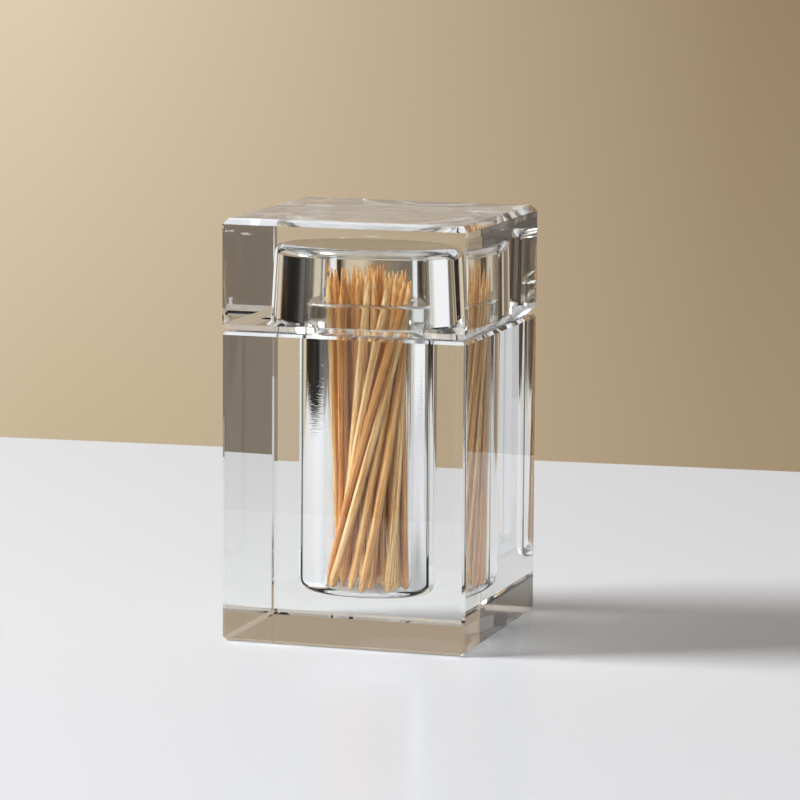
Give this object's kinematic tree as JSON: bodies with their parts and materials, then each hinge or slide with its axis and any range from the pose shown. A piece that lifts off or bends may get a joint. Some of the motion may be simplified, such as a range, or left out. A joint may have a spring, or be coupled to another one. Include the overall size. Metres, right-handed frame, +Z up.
{
  "type": "toothpick holder",
  "caption": "Square clear glass toothpick holder: a thick block with a round bore and raised neck, a lift-off glass lid, and a bundle of bamboo toothpicks.",
  "frame": {"origin": "middle of the glass block's underside, on the table", "axes": "+Z up, -Y the front of the square, +X to the right of the front"},
  "size_m": [0.05, 0.05, 0.0838],
  "materials": {
    "clear_glass": "polished",
    "bamboo": "bare, with fine fibres along the length"
  },
  "bodies": {
    "holder": {"glass_block": "clear_glass"},
    "lid": {"glass_lid": "clear_glass"},
    "toothpicks": {"toothpick_01": "bamboo", "toothpick_02": "bamboo", "toothpick_03": "bamboo", "toothpick_04": "bamboo", "toothpick_05": "bamboo", "toothpick_06": "bamboo", "toothpick_07": "bamboo", "toothpick_08": "bamboo", "toothpick_09": "bamboo", "toothpick_10": "bamboo", "toothpick_11": "bamboo", "toothpick_12": "bamboo", "toothpick_13": "bamboo", "toothpick_14": "bamboo", "toothpick_15": "bamboo", "toothpick_16": "bamboo", "toothpick_17": "bamboo", "toothpick_18": "bamboo", "toothpick_19": "bamboo", "toothpick_20": "bamboo", "toothpick_21": "bamboo", "toothpick_22": "bamboo", "toothpick_23": "bamboo", "toothpick_24": "bamboo", "toothpick_25": "bamboo", "toothpick_26": "bamboo", "toothpick_27": "bamboo", "toothpick_28": "bamboo", "toothpick_29": "bamboo", "toothpick_30": "bamboo", "toothpick_31": "bamboo", "toothpick_32": "bamboo", "toothpick_33": "bamboo", "toothpick_34": "bamboo", "toothpick_35": "bamboo", "toothpick_36": "bamboo", "toothpick_37": "bamboo", "toothpick_38": "bamboo", "toothpick_39": "bamboo", "toothpick_40": "bamboo", "toothpick_41": "bamboo", "toothpick_42": "bamboo", "toothpick_43": "bamboo", "toothpick_44": "bamboo", "toothpick_45": "bamboo"}
  },
  "joints": [
    {"name": "lid_lift", "type": "slide", "parent": "holder", "child": "lid", "axis": [0, 0, 1], "range_m": [0, 0.03]},
    {"name": "toothpicks_lift", "type": "slide", "parent": "holder", "child": "toothpicks", "axis": [0, 0, 1], "range_m": [0, 0.0038]}
  ]
}
